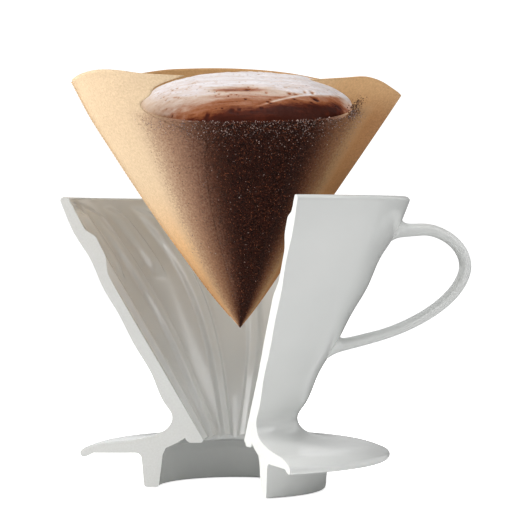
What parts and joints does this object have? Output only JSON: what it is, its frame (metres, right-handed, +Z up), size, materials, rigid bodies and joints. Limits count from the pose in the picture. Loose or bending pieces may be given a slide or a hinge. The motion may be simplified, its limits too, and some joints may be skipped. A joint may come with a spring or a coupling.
{
  "type": "pour-over dripper",
  "caption": "Sectioned conical pour-over coffee dripper in glazed ceramic, with spiral ribs, a saucer flange, a loop handle and a lift-out paper filter full of coffee.",
  "frame": {"origin": "on the cone's axis, in the plane of the foot ring's lower face", "axes": "+Z up along the cone's axis, +X towards the handle, -Y towards the cut-away front"},
  "size_m": [0.1406, 0.116, 0.1455],
  "materials": {
    "glaze": "gloss glaze",
    "filter_paper": "creped unbleached paper",
    "coffee_grounds": "wet grounds",
    "coffee_bloom": "wet foam crust"
  },
  "bodies": {
    "dripper": {"cone_wall": "glaze", "long_ribs": "glaze", "short_ribs": "glaze", "outlet_lip": "glaze", "saucer_plate": "glaze", "foot_ring": "glaze", "handle_strap": "glaze", "handle_upper_root": "glaze", "handle_lower_root": "glaze"},
    "filter": {"filter_paper": "filter_paper", "filter_seam": "filter_paper", "coffee_bed": "coffee_grounds", "bloom_crust": "coffee_bloom"}
  },
  "joints": [
    {"name": "filter_lift", "type": "slide", "parent": "dripper", "child": "filter", "axis": [0, 0, 1], "range_m": [-0.049, 0.045]}
  ]
}
